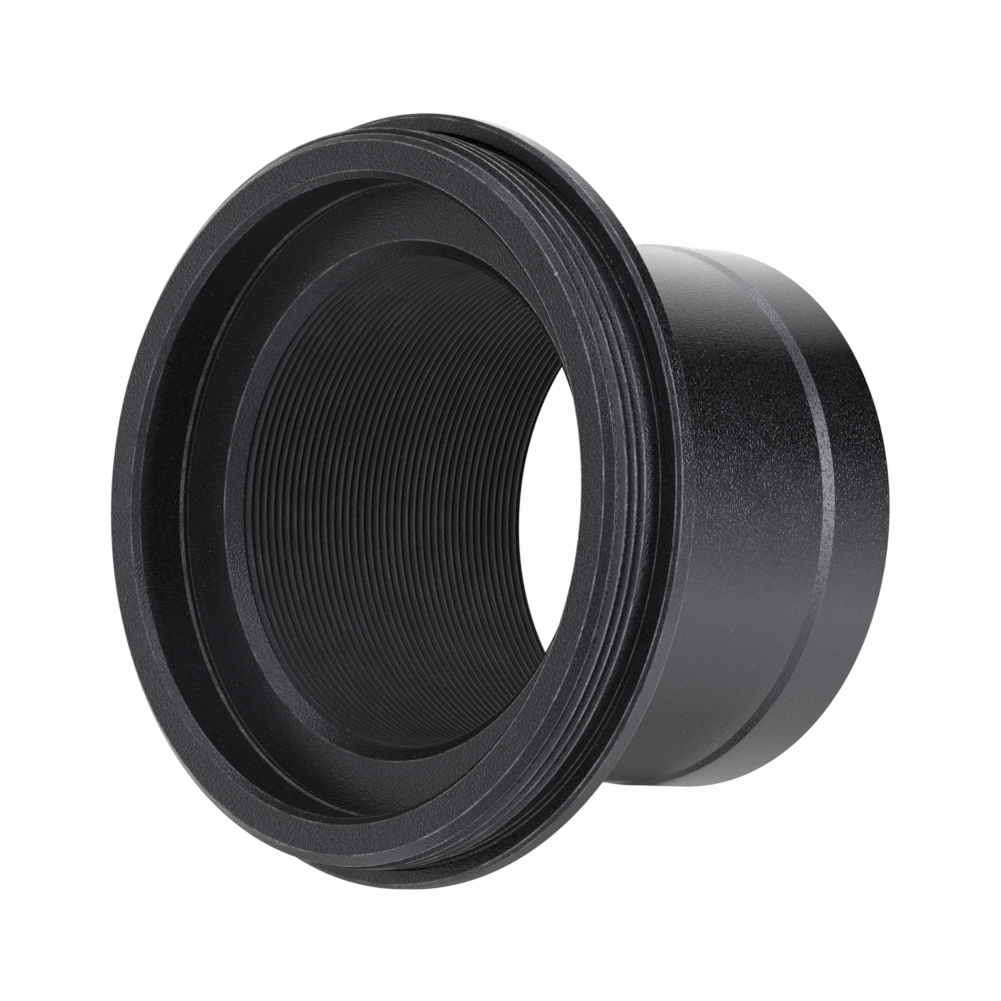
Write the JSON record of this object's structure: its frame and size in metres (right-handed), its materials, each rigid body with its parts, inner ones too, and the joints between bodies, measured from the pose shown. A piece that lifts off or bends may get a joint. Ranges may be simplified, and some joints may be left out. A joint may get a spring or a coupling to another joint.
{
  "type": "eyepiece camera adapter",
  "caption": "Turned black aluminium adapter ring: a smooth telescope barrel, a stop flange and a short outside thread that carries a camera ring, with a light bore right through.",
  "frame": {"origin": "centre of the barrel's end face, on the axis, where the part stands", "axes": "+Z along the axis, from the eyepiece barrel's end up to the camera end face"},
  "size_m": [0.0442, 0.0442, 0.0282],
  "materials": {
    "black_anodised": "black anodised over a fine bead-blasted grain, satin, thin pale lines along the machined edges"
  },
  "bodies": {
    "root": {"adapter_body": "black_anodised"}
  },
  "joints": []
}
